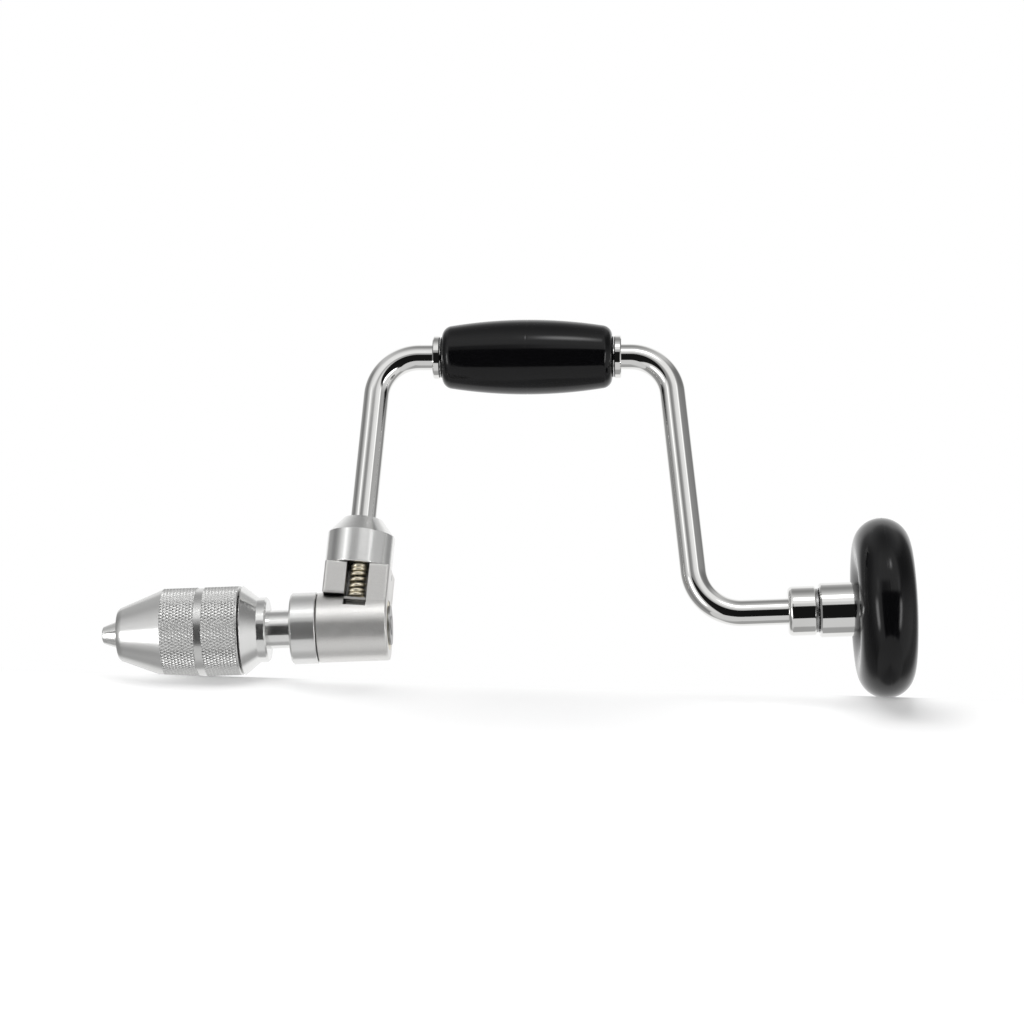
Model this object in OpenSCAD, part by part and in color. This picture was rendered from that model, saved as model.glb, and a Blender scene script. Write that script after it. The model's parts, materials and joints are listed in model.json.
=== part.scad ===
// Bit brace with a two jaw screw chuck, a box ratchet, a free turning grip and a breast pad.
// The rotation axis is X, with the jaw tip at the origin and the crank standing up along Z.

/* [Crank] */
// Distance from the rotation axis to the middle of the grip, half of the sweep
crank_radius = 128; // [110:1:150]
// Diameter of the crank rod
rod_d = 12; // [11:0.1:13]
// Lean of the arm out of the head, towards the pad
arm_lean = 6.3; // [4:0.1:9]
// Distance along the axis from the arm to the foot of the leg
crank_span = 159.4; // [150:0.5:190]
// Lean of the leg, towards the head
leg_lean = 4; // [2:0.1:7]
// Fall of the grip towards the pad
grip_tilt = 2.1; // [0:0.1:3]
// Shift of the grip from the middle of the crank towards the pad
grip_shift = 4.4; // [2:0.1:6]
// Bend radius of the rod beside the grip
bend_top_r = 20; // [16:0.5:22]
// Bend radius of the rod at the foot of the leg
bend_foot_r = 22; // [18:0.5:26]

/* [Grip] */
// Length of the grip
grip_l = 80.3; // [70:0.2:82]
// Largest radius of the grip
grip_r = 17.65; // [16:0.05:20]
// Radius of the long curve of the grip
grip_curve_r = 230; // [220:5:400]
// Rounding of the grip's ends
grip_round = 5; // [3:0.1:6]
// Radius of the boss on each end of the grip
grip_boss_r = 9.7; // [9:0.1:10]
// Length of the boss on each end of the grip
grip_boss_l = 0.6; // [0.4:0.1:1]
// Radius of the collars beside the grip
grip_collar_r = 10.1; // [9:0.1:11]
// Width of the collars beside the grip
grip_collar_l = 3.3; // [2.5:0.1:4]

/* [Chuck] */
// Radius of the jaws at their tip
jaw_tip_r = 3.85; // [3.7:0.05:4.1]
// Half angle of the jaws' outer cone
jaw_angle = 19.8; // [19:0.1:20.5]
// Length of the jaws outside the nose
jaw_out = 7.6; // [5:0.1:9]
// Length of each jaw
jaw_l = 34; // [30:0.5:38]
// Thickness of the split between the jaws
jaw_split = 0.5; // [0.3:0.05:0.8]
// Radius of the round shank that the closed jaws hold
shank_r = 2.5; // [2.2:0.05:2.8]
// Radius of the nose at its front edge
nose_r = 11.9; // [11:0.1:13]
// Length of the nose cone
nose_cone_l = 21.5; // [20:0.2:26]
// Outer radius of the knurled shell
shell_r = 20.5; // [19:0.1:22]
// Length of the knurled part of the shell
knurl_l = 35.6; // [32:0.2:40]
// Width of the plain groove between the two knurled bands
band_groove_w = 3.5; // [2:0.1:5]
// Shift of the plain groove from the middle of the knurl towards the nose
band_groove_shift = 0.4; // [0:0.1:3]
// Depth of the plain groove
band_groove_d = 0.4; // [0.2:0.05:0.8]
// Gap between the closed shell and the rear cone
shell_gap = 0.8; // [0.5:0.1:1.5]
// Radius of the threaded stem that the shell turns on
stem_r = 12; // [11.8:0.1:12.6]
// Distance that the shell runs forward when it is unscrewed
shell_travel = 8; // [6:0.5:9]
// Distance that each jaw moves out when the shell is unscrewed
jaw_travel = 2; // [1.5:0.1:2.2]
// Length of the rear cone of the chuck body
rear_cone_l = 7.4; // [6:0.2:10]
// Radius of the collar behind the rear cone
collar_r = 14.9; // [14:0.1:16]
// Length of the collar behind the rear cone
collar_l = 4.3; // [3:0.1:6]
// Radius of the neck
neck_r = 8.8; // [8.4:0.1:9]
// Length of the neck that shows
neck_l = 10.8; // [8:0.2:14]

/* [Ratchet] */
// Radius of the selector ring
ring_r = 16.4; // [16:0.1:18]
// Length of the selector ring
ring_l = 12; // [10:0.1:13]
// Turn of the selector ring from one direction to the other
ring_turn = 60; // [40:5:80]
// Radius of the barrel
barrel_r = 16.1; // [15.8:0.1:17]
// Length of the barrel
barrel_l = 32.3; // [31:0.1:38]
// Rounding of the barrel's rear edge
barrel_round = 1; // [0.5:0.1:1.5]
// Shift of the arm from the middle of the barrel towards the chuck
arm_shift = 0.9; // [0:0.1:1.5]
// Outer radius of the ratchet wheel
wheel_r = 10.6; // [10.4:0.05:10.7]
// Depth of the ratchet teeth
tooth_h = 2; // [1.6:0.1:2.2]
// Lift of a pawl from its tooth
pawl_lift = 2.6; // [2.5:0.05:2.8]
// Width of the head along the barrel
head_w = 30; // [28:0.2:32]
// Shift of the head's block from the arm towards the pad
head_shift = 1; // [0:0.1:1.5]
// Depth of the head from its front face to its rear face
head_d = 27; // [26:0.2:30]
// Height of the head's flat top along the arm
head_h = 27.6; // [26:0.2:30]
// Rounding of the head's upright corners
head_round = 1.6; // [1:0.1:3]
// Rounding of the head's level edges
head_edge = 0.8; // [0.4:0.1:1.2]
// Width of the windows in the head
window_w = 10.5; // [9.6:0.1:11]
// Shift of the windows from the middle of the head's block towards the pad
window_shift = 0.5; // [0:0.1:1]
// Depth of each window from the head's face
window_d = 8.9; // [8.6:0.1:9.2]
// Radius of the socket on the head
socket_r = 15.7; // [14:0.1:17]
// Length of the socket's cylinder
socket_l = 15.6; // [12:0.1:18]
// Length of the socket's conical top
socket_cone_l = 7.8; // [6:0.1:10]
// Radius of the socket's top
socket_top_r = 9.3; // [8:0.1:10.5]
// Outer diameter of the pawl springs
spring_d = 7.2; // [6.6:0.1:7.4]
// Wire of the pawl springs
spring_wire = 1.3; // [1:0.05:1.4]
// Number of curls in a pawl spring
spring_curls = 6; // [4:1:6]

/* [Pad] */
// Distance from the foot of the leg to the thrust collar
tail_l = 41; // [36:0.5:50]
// Radius of the thrust collar
thrust_collar_r = 11.3; // [10.6:0.1:12.5]
// Length of the thrust collar
thrust_collar_l = 12.7; // [10:0.1:15]
// Rounding of the thrust collar's end towards the crank
thrust_front_round = 2.3; // [1:0.1:3]
// Rounding of the thrust collar's end towards the pad
thrust_rear_round = 0.9; // [0.4:0.1:2]
// Gap between the thrust collar and the quill
quill_gap = 1.6; // [1.4:0.1:1.8]
// Radius of the quill's sleeve
quill_r = 12.45; // [12:0.05:14]
// Length of the quill's sleeve
quill_l = 19.6; // [15:0.2:24]
// Length of the flange ring against the pad
flange_l = 1.8; // [1.4:0.1:3]
// Radius of the pad
pad_r = 41.3; // [38:0.1:45]
// Rounding radius of the pad's rim
pad_rim_r = 12.8; // [12:0.1:14]
// Radius of the swell of the pad's inner face, from its hub to its rim
pad_swell_r = 27.4; // [26:0.1:30]
// Depth of the pad from its middle plane to the flange
pad_hub_l = 8; // [7:0.1:10]
// Height of the pad's domed face above its middle plane
pad_dome_h = 14.9; // [14.1:0.1:16]

/* [Fits] */
// Radial clearance of a turning fit
run_fit = 0.06; // [0.04:0.01:0.1]
// Radial clearance of a pressed or screwed fit
press_fit = 0.02; // [0.01:0.01:0.04]
// Free clearance between pieces that move past each other
free_gap = 0.3; // [0.25:0.01:0.35]

/* [Hidden] */
$fn = 64;
// Stations along the rotation axis
nose_x = jaw_out;
knurl_x = nose_x + nose_cone_l;
shell_end_x = knurl_x + knurl_l;
body_x = shell_end_x + shell_gap;
collar_x = body_x + rear_cone_l;
neck_x = collar_x + collar_l;
ring_x = neck_x + neck_l;
ring_gap = 0.4;
barrel_x = ring_x + ring_l + ring_gap;
barrel_end_x = barrel_x + barrel_l;
arm_x = barrel_x + barrel_l / 2 - arm_shift;
foot_x = arm_x + crank_span;
thrust_x = foot_x + tail_l;
thrust_end_x = thrust_x + thrust_collar_l;
quill_x = thrust_end_x + quill_gap;
flange_x = quill_x + quill_l;
pad_hub_x = flange_x + flange_l;
pad_x = pad_hub_x + pad_hub_l;

// Margin of a cut past the face that it opens
cut = 1;

// Chuck details, with room behind the jaws for their travel
jaw_room = 0.4;
jaw_back_r = stem_r - jaw_travel - jaw_room;
jaw_cone_l = (jaw_back_r - jaw_tip_r) / tan(jaw_angle);
jaw_half_w = 6;
jaw_edge = 0.4;
shank_l = 24;
nose_wall = 3;
cone_front_x = nose_x + nose_wall;
cone_ring_l = 7.5;
stem_gap = 2;
stem_x = cone_front_x + cone_ring_l + stem_gap;
relief_d = 0.6;
relief_x = body_x - shell_travel;
jaw_end_gap = 1;
slot_end_x = jaw_l + jaw_end_gap;
leaf_t = 0.5;
leaf_l = 10;
leaf_w = 4;
edge = 0.8;

// Ratchet details
spigot_l = 8;
spigot_r = 12.2;
ring_web_l = 2.6;
bush_wall = 1.5;
bush_in_l = 4;
front_bush_l = spigot_l + bush_in_l;
rear_bush_l = 7;
wheel_room = 0.8;
wheel_cavity_r = wheel_r + wheel_room;
journal_r = 7;
shoulder_gap = 1;
shoulder_x = barrel_x + bush_in_l + shoulder_gap;
teeth = 12;
tooth_root_a = 8;
tooth_tip_a = 4.5;
wheel_l = 13;
wheel_mid_x = arm_x + head_shift;
wheel_x = wheel_mid_x - wheel_l / 2;
retainer_gap = 0.1;
spindle_end_x = barrel_end_x + retainer_gap;
wheel_pin_r = 1.5;
wheel_pin_in = 0.5;
retainer_lap = 2;
retainer_r = journal_r + retainer_lap;
retainer_l = 1;
screw_r = 2.5;
screw_head_r = 4.4;
screw_l = 9;
screw_hole_l = screw_l + 1;
slot_w = 1.1;
slot_d = 0.5;
head_proud = 0.3;
detent_r = 1.5;
detent_out = 0.35;
detent_l = 8;
detent_wire = 0.5;
dimple_d = 0.3;
detent_place = (barrel_r + wheel_cavity_r) / 2;

// Head details, measured along the arm
web_d = head_d - 2 * window_d;
cheek_h = 15.2;
cheek_z = head_h - cheek_h;
window_z = 8.3;
sill_z = 6.9;
sill_y = 9.5;
tongue_in = 6.25;
tongue_out = 8.8;
tongue_bite = 4.24;
tongue_z = wheel_r - tongue_bite;
tongue_side = 0.5;
tongue_lap = 0.6;
tongue_room = 1;
pawl_z = 9.9;
pawl_t = 1.1;
pawl_inset = 0.9;
spring_in = 0.2;
spring_y = web_d / 2 + window_d / 2 - spring_in;
tenon_r = 4;
tenon_l = 12;
cross_pin_r = 1.5;
cross_pin_drop = 3.2;
cross_pin_z = head_h - cross_pin_drop;

// Lap of the rod's straight runs into its bends, and the bends' slight swelling
run_lap = 0.3;
bend_swell = 0.02;

// Gap between the grip and its collars, and bevel of the collars
grip_end_gap = 0.3;
collar_bevel = 0.5;

// Pad details
spigot_pad_r = 10;
spigot_pad_l = 4;
race_r = 10;
race_l = 1;
ball_r = 1.15;
ball_gap = 0.05;
ball_count = 14;
bearing_l = 2 * race_l + 2 * ball_r + 2 * ball_gap;
ball_circle_r = (race_r + rod_d / 2) / 2 + run_fit;
thread_r = 4;
washer_l = 1.2;
washer_r = 9;
nut_l = 4.5;
nut_r = 7.5;
nut_room = 2.5;
thread_out = 1;
end_play = 0.3;
rod_end_x = pad_hub_x + spigot_pad_l + end_play;
flange_neck = 0.6;
swell_margin = 0.5;
swell_inset = 0.02;

// Directions of the crank's straight runs, in degrees from the axis towards the grip
arm_way = 90 - arm_lean;
grip_way = -grip_tilt;
leg_way = leg_lean - 90;

function way(angle) = [cos(angle), sin(angle)];
function cross2(a, b) = a[0] * b[1] - a[1] * b[0];
// Point where a line through p along angle a meets a line through q along angle b
function meet(p, a, q, b) = p + way(a) * cross2(q - p, way(b)) / cross2(way(a), way(b));
function tangent_l(a, b, r) = r * tan(abs(b - a) / 2);

grip_middle = [(arm_x + foot_x) / 2 + grip_shift, crank_radius];
head_corner = meet([arm_x, 0], arm_way, grip_middle, grip_way);
pad_corner = meet([foot_x, 0], leg_way, grip_middle, grip_way);
foot_corner = [foot_x, 0];

// Solid turned about the rotation axis from an outline of axial place and radius
module turned(outline) {
    rotate([0, 90, 0]) rotate_extrude() polygon([for (p = outline) [p[1], p[0]]]);
}

// Cylinder on the rotation axis
module bar_x(x, l, r) {
    translate([x, 0, 0]) rotate([0, 90, 0]) cylinder(h = l, r = r);
}

// Ring on the rotation axis
module ring_on_x(x, l, r, hole) {
    difference() {
        bar_x(x, l, r);
        bar_x(x - cut, l + 2 * cut, hole);
    }
}

// Places its children in the head's frame, with Z along the arm
module on_head() {
    translate([arm_x, 0, 0]) rotate([0, arm_lean, 0]) children();
}

// Places its children in the middle of the head's block
module on_block() {
    on_head() translate([head_shift, 0, 0]) children();
}

// Places its children in the middle of the head's windows
module on_window() {
    on_block() translate([window_shift, 0, 0]) children();
}

// Places its children in the grip's frame, with X along the grip
module on_grip() {
    translate([grip_middle[0], 0, grip_middle[1]]) rotate([0, grip_tilt, 0]) children();
}

// Straight run of the rod from a point of the crank's plane, lapped into what it meets at either end
module rod_run(from, angle, l, r, lap_start, lap_end) {
    translate([from[0], from[1], 0]) rotate([0, 90, angle])
        translate([0, 0, -lap_start]) cylinder(h = l + lap_start + lap_end, r = r);
}

// Bend of the rod about a corner of the crank's plane
module rod_bend(corner, a, b, r) {
    side = b > a ? 1 : -1;
    centre = corner - way(a) * tangent_l(a, b, r) + way(a + side * 90) * r;
    start = side > 0 ? a - 90 : b + 90;
    translate([centre[0], centre[1], 0]) rotate([0, 0, start])
        rotate_extrude(angle = abs(b - a)) translate([r, 0]) circle(r = rod_d / 2 + bend_swell);
}

// Hole for the cross pin, along the head's width
module cross_pin_bar(r, l) {
    on_block() translate([-l / 2, 0, cross_pin_z]) rotate([0, 90, 0]) cylinder(h = l, r = r);
}

module crank_frame() {
    foot_t = tangent_l(leg_way, 0, bend_foot_r);
    head_t = tangent_l(arm_way, grip_way, bend_top_r);
    pad_t = tangent_l(grip_way, leg_way, bend_top_r);
    arm_start = [arm_x, 0] + way(arm_way) * head_h;
    leg_start = pad_corner + way(leg_way) * pad_t;
    color("silver") difference() {
        rotate([90, 0, 0]) {
            rod_run(arm_start - way(arm_way) * tenon_l, arm_way, tenon_l, tenon_r, 0, run_lap);
            rod_run(arm_start, arm_way, norm(head_corner - arm_start) - head_t, rod_d / 2, 0, run_lap);
            rod_bend(head_corner, arm_way, grip_way, bend_top_r);
            rod_run(head_corner + way(grip_way) * head_t, grip_way,
                norm(pad_corner - head_corner) - head_t - pad_t, rod_d / 2, run_lap, run_lap);
            rod_bend(pad_corner, grip_way, leg_way, bend_top_r);
            rod_run(leg_start, leg_way, norm(foot_corner - leg_start) - foot_t, rod_d / 2, run_lap, run_lap);
            rod_bend(foot_corner, leg_way, 0, bend_foot_r);
            rod_run([foot_x + foot_t, 0], 0, rod_end_x - foot_x - foot_t, rod_d / 2, run_lap, 0);
            rod_run([rod_end_x, 0], 0, washer_l + nut_l + thread_out, thread_r, run_lap, 0);
        }
        cross_pin_bar(cross_pin_r + press_fit, head_w);
    }
}

// Rounded rectangle about the origin
module rounded_plate(w, d, r) {
    square([w - 2 * r, d], center = true);
    square([w, d - 2 * r], center = true);
    for (sx = [-1, 1], sy = [-1, 1])
        translate([sx * (w / 2 - r), sy * (d / 2 - r)]) circle(r = r);
}

// Block standing on the origin, with rounded upright and level edges
module edged_block(w, d, h) {
    intersection() {
        linear_extrude(h) rounded_plate(w, d, head_round);
        translate([0, d / 2, h / 2]) rotate([90, 0, 0]) linear_extrude(d) rounded_plate(w, h, head_edge);
        translate([-w / 2, 0, h / 2]) rotate([90, 0, 90]) linear_extrude(w) rounded_plate(d, h, head_edge);
    }
}

// Half outline of the barrel, with a broken front edge and a rounded rear edge
function barrel_outline() = concat(
    [[barrel_x, 0], [barrel_x, barrel_r - edge / 2], [barrel_x + edge / 2, barrel_r]],
    [for (a = [0 : 15 : 90])
        [barrel_end_x, barrel_r] - barrel_round * [1 - sin(a), 1 - cos(a)]],
    [[barrel_end_x, 0]]);

// Window for a pawl and its spring, on the front or the rear side of the head
module pawl_window(side) {
    face = web_d / 2;
    on_window() {
        translate([-window_w / 2, side > 0 ? face : -face - head_d, window_z])
            cube([window_w, head_d, head_h - window_z + cut]);
        translate([-window_w / 2, side > 0 ? face : -tongue_out - free_gap, tongue_z - tongue_room])
            cube([window_w, tongue_out + free_gap - face, window_z - tongue_z + tongue_room + cut]);
        translate([-window_w / 2, side > 0 ? sill_y : -sill_y - head_d, sill_z])
            cube([window_w, head_d, window_z - sill_z + cut]);
    }
}

module ratchet_body() {
    color("gainsboro") difference() {
        union() {
            bar_x(barrel_x - spigot_l, spigot_l + cut, spigot_r);
            turned(barrel_outline());
            on_block() {
                translate([0, 0, cheek_z]) edged_block(head_w, head_d, cheek_h);
                intersection() {
                    translate([0, 0, -head_h]) edged_block(head_w, head_d, 2 * head_h);
                    translate([window_shift - window_w / 2, -head_d, 0]) cube([head_w, 2 * head_d, head_h]);
                }
            }
        }
        bar_x(barrel_x + bush_in_l, barrel_l, wheel_cavity_r);
        bar_x(barrel_x - spigot_l - cut, front_bush_l + 2 * cut, neck_r + bush_wall);
        pawl_window(-1);
        pawl_window(1);
        on_head() translate([0, 0, head_h - tenon_l - cut])
            cylinder(h = tenon_l + 2 * cut, r = tenon_r + press_fit);
        cross_pin_bar(cross_pin_r + press_fit, head_w + 2 * cut);
        translate([0, 0, -detent_place]) bar_x(barrel_x - cut, detent_l + cut, detent_r + press_fit);
    }
}

module arm_socket() {
    bore = rod_d / 2 + press_fit;
    color("lightgray") on_head() translate([0, 0, head_h]) rotate_extrude()
        polygon([[bore, 0], [socket_r - edge / 2, 0], [socket_r, edge / 2], [socket_r, socket_l],
            [socket_top_r, socket_l + socket_cone_l], [bore, socket_l + socket_cone_l]]);
}

module arm_cross_pin() {
    color("dimgray") cross_pin_bar(cross_pin_r, head_w);
}

module front_bush() {
    color("goldenrod")
        ring_on_x(barrel_x - spigot_l, front_bush_l, neck_r + bush_wall - press_fit, neck_r + run_fit);
}

module rear_bush() {
    color("goldenrod")
        ring_on_x(barrel_end_x - rear_bush_l, rear_bush_l, wheel_cavity_r - press_fit, journal_r + run_fit);
}

module selector_ring() {
    ring_end_x = ring_x + ring_l;
    color("silver") difference() {
        turned([[ring_x, 0], [ring_x, ring_r - edge], [ring_x + edge, ring_r],
            [ring_end_x - edge / 2, ring_r], [ring_end_x, ring_r - edge / 2], [ring_end_x, 0]]);
        bar_x(ring_x - cut, ring_l + 2 * cut, neck_r + free_gap);
        bar_x(ring_x + ring_web_l, ring_l, spigot_r + run_fit);
        for (a = [0, -ring_turn])
            rotate([a, 0, 0]) translate([ring_end_x + detent_r - dimple_d, 0, -detent_place])
                sphere(r = detent_r);
    }
}

module detent_ball() {
    color("silver") translate([barrel_x + detent_r - detent_out, 0, -detent_place]) sphere(r = detent_r);
}

module detent_spring() {
    start = 2 * detent_r - detent_out;
    color("gray") translate([0, 0, -detent_place])
        ring_on_x(barrel_x + start, detent_l - start, detent_r, detent_r - detent_wire);
}

// Pawl on the front or the rear side of the head, raised by a lift along the arm
module pawl(side, lift) {
    inside = window_w / 2 - free_gap;
    pawl_y = web_d / 2 + free_gap + pawl_inset;
    pawl_d = window_d - 2 * free_gap - pawl_inset;
    shift = lift * sin(arm_lean);
    tongue_x = arm_x + (head_shift + window_shift) * cos(arm_lean) + pawl_z * sin(arm_lean) + shift;
    tongue_w = 2 * (inside - tongue_side);
    on_window() translate([-inside, side > 0 ? pawl_y : -pawl_y - pawl_d, pawl_z + lift])
        cube([2 * inside, pawl_d, pawl_t]);
    translate([tongue_x - tongue_w / 2, side > 0 ? tongue_in : -tongue_out, tongue_z + lift * cos(arm_lean)])
        cube([tongue_w, tongue_out - tongue_in, pawl_z + tongue_lap - tongue_z]);
}

module pawl_front() {
    color("gray") pawl(-1, 0);
}

module pawl_rear() {
    color("gray") pawl(1, pawl_lift);
}

// Coil spring between a pawl and the socket, swept as one tube with straight ends
spring_sides = 6;
spring_rings = 8;
spring_mean_r = (spring_d - spring_wire) / 2;
spring_end_gap = 0.05;

function spring_low(lift) = pawl_z + pawl_t + lift + spring_end_gap;
function spring_l(lift) = head_h - spring_end_gap - spring_low(lift);
function spring_pitch(lift) = (spring_l(lift) - 2 * spring_wire) / spring_curls;
// Centre line: a straight end, the curls, and a straight end
function spring_path(lift) = concat(
    [[spring_mean_r, 0, 0], [spring_mean_r, 0, spring_wire / 2]],
    [for (i = [0 : spring_curls * spring_rings])
        let (turn = i / spring_rings)
        [spring_mean_r * cos(360 * turn), spring_mean_r * sin(360 * turn),
            spring_wire + spring_pitch(lift) * turn]],
    [[spring_mean_r, 0, spring_l(lift) - spring_wire / 2], [spring_mean_r, 0, spring_l(lift)]]);
function unit(v) = v / norm(v);
function path_way(path, i) =
    i < 2 || i > len(path) - 3 ? [0, 0, 1] : unit(path[i + 1] - path[i - 1]);
// Six points around the centre line, set square to it
function tube_ring(path, i) =
    let (t = path_way(path, i),
        out = unit([path[i][0], path[i][1], 0]),
        u = unit(out - t * (out * t)),
        v = cross(t, u))
    [for (k = [0 : spring_sides - 1])
        path[i] + spring_wire / 2 * (u * cos(360 * k / spring_sides) + v * sin(360 * k / spring_sides))];

module tube(path) {
    rings = len(path);
    points = [for (i = [0 : rings - 1]) each tube_ring(path, i)];
    sides = [for (i = [0 : rings - 2], k = [0 : spring_sides - 1])
        let (a = i * spring_sides + k,
            b = i * spring_sides + (k + 1) % spring_sides)
        each [[a, a + spring_sides, b], [b, a + spring_sides, b + spring_sides]]];
    low_cap = [for (k = [1 : spring_sides - 2]) [0, k, k + 1]];
    top = (rings - 1) * spring_sides;
    top_cap = [for (k = [1 : spring_sides - 2]) [top, top + k + 1, top + k]];
    polyhedron(points = points, faces = concat(sides, low_cap, top_cap));
}

// Least distance between tube points that lie more than half a curl apart along the path
function self_gap(path) = min([for (i = [0 : len(path) - 1], j = [0 : len(path) - 1])
    if (j - i > spring_rings / 2) norm(path[i] - path[j]) - spring_wire]);

module pawl_spring(side, lift) {
    path = spring_path(lift);
    echo(str("pawl spring self gap ", self_gap(path), " mm"));
    on_window() translate([0, side * spring_y, spring_low(lift)]) tube(path);
}

module pawl_spring_front() {
    color("darkkhaki") pawl_spring(-1, 0);
}

module pawl_spring_rear() {
    color("darkkhaki") pawl_spring(1, pawl_lift);
}

// Outline of the ratchet wheel, with a tooth at the top
function wheel_outline() = [for (i = [0 : teeth - 1],
    k = [[-tooth_root_a, tooth_h], [-tooth_tip_a, 0], [tooth_tip_a, 0], [tooth_root_a, tooth_h]])
    let (a = 360 / teeth * i + k[0], r = wheel_r - k[1])
    [r * cos(a), r * sin(a)]];

// Hole for the wheel pin, across the spindle between two teeth
module wheel_pin_bar(r) {
    l = 2 * (wheel_r - tooth_h - wheel_pin_in);
    rotate([180 / teeth, 0, 0]) translate([wheel_mid_x, 0, -l / 2]) cylinder(h = l, r = r);
}

module ratchet_wheel() {
    color("slategray") difference() {
        translate([wheel_x, 0, 0]) rotate([0, 90, 0]) linear_extrude(wheel_l) polygon(wheel_outline());
        bar_x(wheel_x - cut, wheel_l + 2 * cut, journal_r + press_fit);
        wheel_pin_bar(wheel_pin_r + press_fit);
    }
}

module wheel_pin() {
    color("dimgray") wheel_pin_bar(wheel_pin_r);
}

module chuck_body() {
    color("silver") difference() {
        turned([[stem_x, 0], [stem_x, stem_r], [relief_x, stem_r], [relief_x + relief_d, stem_r - relief_d],
            [body_x, stem_r - relief_d], [body_x, shell_r - edge / 2],
            [body_x + edge / 2, shell_r], [collar_x, collar_r], [neck_x - edge, collar_r],
            [neck_x, collar_r - edge], [neck_x, neck_r], [shoulder_x, neck_r],
            [shoulder_x, journal_r], [spindle_end_x, journal_r], [spindle_end_x, 0]]);
        translate([stem_x - cut, -jaw_half_w - free_gap, -stem_r - cut])
            cube([slot_end_x - stem_x + cut, 2 * (jaw_half_w + free_gap), 2 * (stem_r + cut)]);
        bar_x(spindle_end_x - screw_hole_l, screw_hole_l + cut, screw_r + press_fit);
        wheel_pin_bar(wheel_pin_r + press_fit);
    }
}

module spindle_retainer() {
    color("gray") difference() {
        bar_x(spindle_end_x, retainer_l, retainer_r);
        bar_x(spindle_end_x - cut, retainer_l + 2 * cut, screw_r + press_fit);
        bar_x(spindle_end_x + retainer_l - slot_d, slot_d + cut, screw_head_r + press_fit);
    }
}

module retainer_screw() {
    head_x = spindle_end_x + retainer_l - slot_d;
    head_l = slot_d + head_proud;
    color("dimgray") difference() {
        union() {
            bar_x(spindle_end_x - screw_l, head_x + head_l / 2 - spindle_end_x + screw_l, screw_r);
            bar_x(head_x, head_l, screw_head_r);
        }
        translate([head_x + head_l - slot_d, -slot_w / 2, -screw_head_r - cut])
            cube([slot_d + cut, slot_w, 2 * (screw_head_r + cut)]);
    }
}

function jaw_r(x) = jaw_tip_r + tan(jaw_angle) * x;

module jaw_ring() {
    back_x = cone_front_x + cone_ring_l;
    color("gray") turned([[cone_front_x, jaw_r(cone_front_x) + free_gap], [cone_front_x, stem_r],
        [back_x, stem_r], [back_x, jaw_r(back_x) + free_gap]]);
}

module chuck_shell() {
    groove_x = knurl_x + (knurl_l - band_groove_w) / 2 - band_groove_shift;
    groove_end_x = groove_x + band_groove_w;
    color("darkgray") difference() {
        turned([[nose_x, 0], [nose_x, nose_r - edge], [nose_x + edge / 2, nose_r], [knurl_x, shell_r],
            [groove_x, shell_r], [groove_x, shell_r - band_groove_d],
            [groove_end_x, shell_r - band_groove_d], [groove_end_x, shell_r],
            [shell_end_x - edge / 2, shell_r], [shell_end_x, shell_r - edge / 2], [shell_end_x, 0]]);
        turned([[nose_x - cut, 0], [nose_x - cut, jaw_r(nose_x - cut) + free_gap],
            [cone_front_x + cut, jaw_r(cone_front_x + cut) + free_gap], [cone_front_x + cut, 0]]);
        bar_x(cone_front_x, shell_end_x - cone_front_x + cut, stem_r + run_fit);
    }
}

// Jaw above the axis, or below it when the side is negative
module jaw(side) {
    difference() {
        turned([[0, 0], [0, jaw_tip_r - jaw_edge], [jaw_edge, jaw_r(jaw_edge)],
            [jaw_cone_l, jaw_back_r], [jaw_l, jaw_back_r], [jaw_l, 0]]);
        bar_x(-cut, shank_l + cut, shank_r);
        translate([-cut, -stem_r, side > 0 ? -2 * stem_r + jaw_split / 2 : -jaw_split / 2])
            cube([jaw_l + 2 * cut, 2 * stem_r, 2 * stem_r]);
        for (s = [-1, 1])
            translate([stem_x - jaw_end_gap, s > 0 ? jaw_half_w : -jaw_half_w - stem_r, -stem_r])
                cube([jaw_l, stem_r, 2 * stem_r]);
        translate([jaw_l - leaf_l, -leaf_w / 2 - free_gap, -leaf_t - jaw_split - free_gap])
            cube([leaf_l + cut, leaf_w + 2 * free_gap, 2 * (leaf_t + jaw_split + free_gap)]);
    }
}

module jaw_upper() {
    color("gray") jaw(1);
}

module jaw_lower() {
    color("gray") jaw(-1);
}

module jaw_spring() {
    root_x = slot_end_x - leaf_t;
    color("steelblue") {
        translate([root_x, -leaf_w / 2, -leaf_t - jaw_split])
            cube([leaf_t, leaf_w, 2 * (leaf_t + jaw_split)]);
        for (s = [-1, 1])
            translate([jaw_l - leaf_l + free_gap, -leaf_w / 2, s > 0 ? jaw_split : -jaw_split - leaf_t])
                cube([root_x - jaw_l + leaf_l, leaf_w, leaf_t]);
    }
}

// Half outline of the grip above its bore, with a long curve and rounded ends
module grip_outline() {
    bore = rod_d / 2 + run_fit;
    curve_y = grip_r - grip_curve_r;
    round_x = grip_l / 2 - grip_round;
    round_y = curve_y + sqrt(pow(grip_curve_r - grip_round, 2) - round_x * round_x);
    touch_x = round_x * grip_curve_r / (grip_curve_r - grip_round);
    intersection() {
        union() {
            intersection() {
                translate([0, curve_y]) circle(r = grip_curve_r, $fn = 256);
                translate([-touch_x, 0]) square([2 * touch_x, grip_r]);
            }
            for (s = [-1, 1])
                translate([s * round_x, round_y]) circle(r = grip_round);
        }
        translate([-grip_l / 2, bore]) square([grip_l, grip_r]);
    }
    translate([-grip_l / 2, bore]) square([grip_l, round_y - bore]);
    translate([-grip_l / 2 - grip_boss_l, bore]) square([grip_l + 2 * grip_boss_l, grip_boss_r - bore]);
}

module grip() {
    color([0.06, 0.06, 0.06]) on_grip() rotate([0, 90, 0]) rotate_extrude() rotate(90) mirror([0, 1])
        grip_outline();
}

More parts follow.
